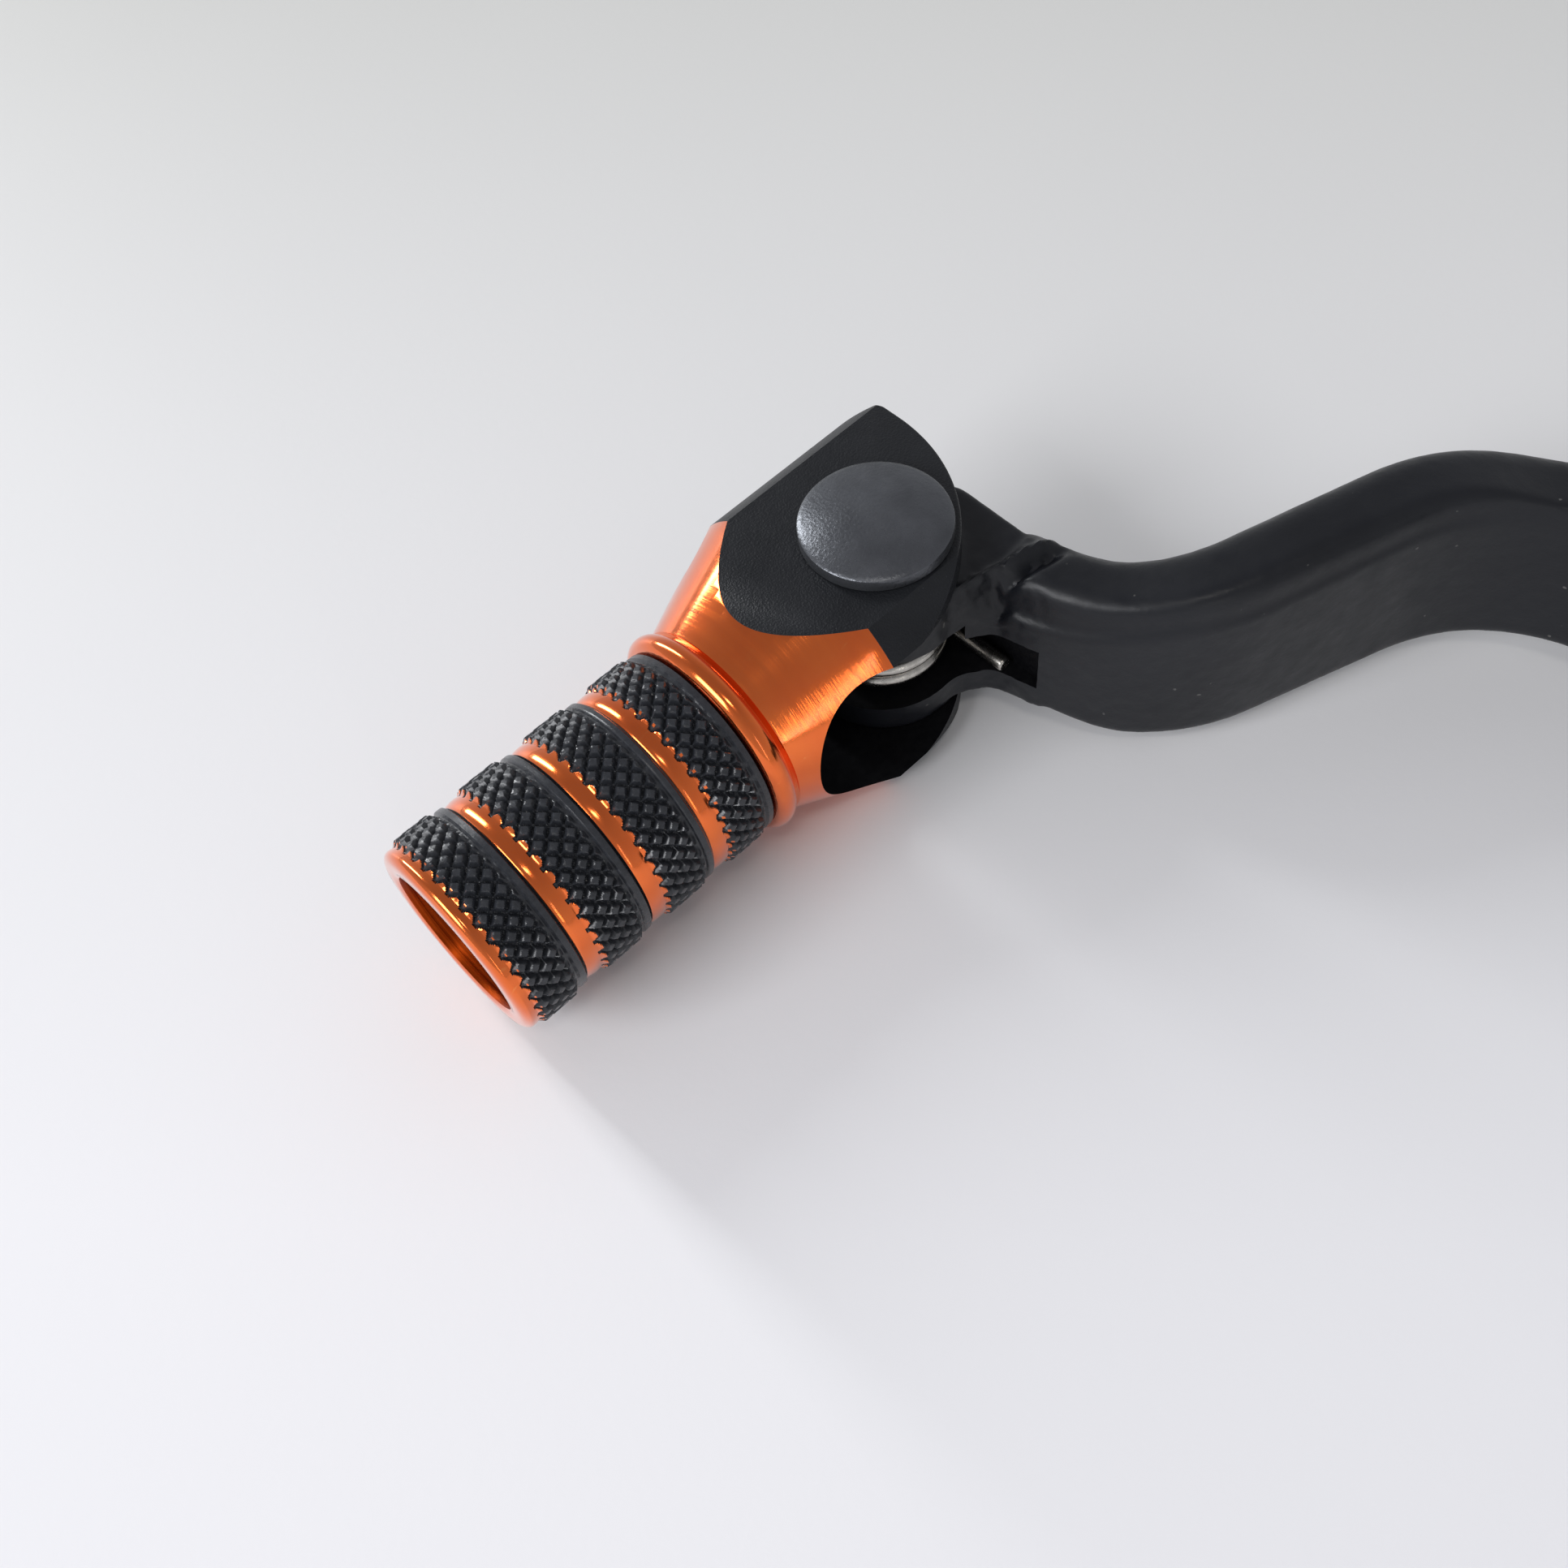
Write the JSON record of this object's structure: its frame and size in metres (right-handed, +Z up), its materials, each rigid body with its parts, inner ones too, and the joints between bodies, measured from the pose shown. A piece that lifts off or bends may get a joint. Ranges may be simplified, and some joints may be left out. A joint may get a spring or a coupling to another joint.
{
  "type": "motorcycle gear shift lever",
  "caption": "Forged off-road gear shift lever with a splined pinch clamp, a double-bent arm and a sprung folding knurled toe peg.",
  "frame": {"origin": "centre of the splined clamp bore, halfway along its width", "axes": "+X from the clamp along the lever to the hinge, +Y outboard along the splined shaft, +Z up along the hinge pin"},
  "size_m": [0.1471, 0.0884, 0.0265],
  "materials": {
    "black_arm": "satin black anodised forging",
    "orange_tip": "bright orange anodised turning with black knurled bands",
    "black_pin": "blasted black anodised",
    "hard_steel": "ground",
    "steel": "zinc plated",
    "spring_steel": "bright spring wire",
    "black_screw": "black oxide"
  },
  "bodies": {
    "arm": {"lever_arm": "black_arm", "pivot_sleeve": "hard_steel", "upper_washer": "steel", "lower_washer": "steel", "torsion_spring": "spring_steel", "pinch_bolt": "steel", "pinch_washer": "steel"},
    "tip": {"folding_tip": "orange_tip", "pivot_pin": "black_pin", "retaining_screw": "black_screw"}
  },
  "joints": [
    {"name": "tip_fold", "type": "hinge", "parent": "arm", "child": "tip", "pos_m": [0.12, 0.042, -0.00425], "axis": [0, 0, 1], "range_deg": [0, 70], "stiffness_Nm_per_rad": 0.12, "springref_deg": -28.65, "deforming": ["torsion_spring"]}
  ]
}
